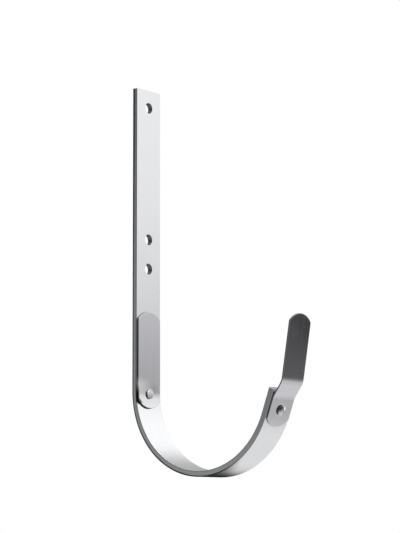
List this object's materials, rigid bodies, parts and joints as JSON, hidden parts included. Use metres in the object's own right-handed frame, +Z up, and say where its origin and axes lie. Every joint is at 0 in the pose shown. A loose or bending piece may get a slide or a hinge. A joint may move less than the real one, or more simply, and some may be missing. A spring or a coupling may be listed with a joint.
{
  "type": "gutter bracket",
  "caption": "J-shaped bracket of bent flat steel for a half-round gutter: a straight arm with screw holes, and riveted sheet tongues that fold over the gutter's edges.",
  "frame": {"origin": "on the strip's back face, mid width, midway between the two lower screw holes", "axes": "+X away from the board that the arm is screwed to, towards the gutter's front; +Z up along the arm; +Y across the strip"},
  "size_m": [0.1374, 0.025, 0.2765],
  "materials": {
    "strip": "bright zinc-coated flat steel, faintly brushed along its length, with darker sheared edges",
    "tongue": "bright zinc-coated sheet, smoother than the strip, faintly brushed",
    "rivet": "satin steel, with the set head's soft edges"
  },
  "bodies": {
    "root": {"strip_arm": "strip", "strip_bowl": "strip", "rear_tongue": "tongue", "front_tongue": "tongue", "rear_rivet": "rivet", "front_rivet": "rivet"}
  },
  "joints": []
}
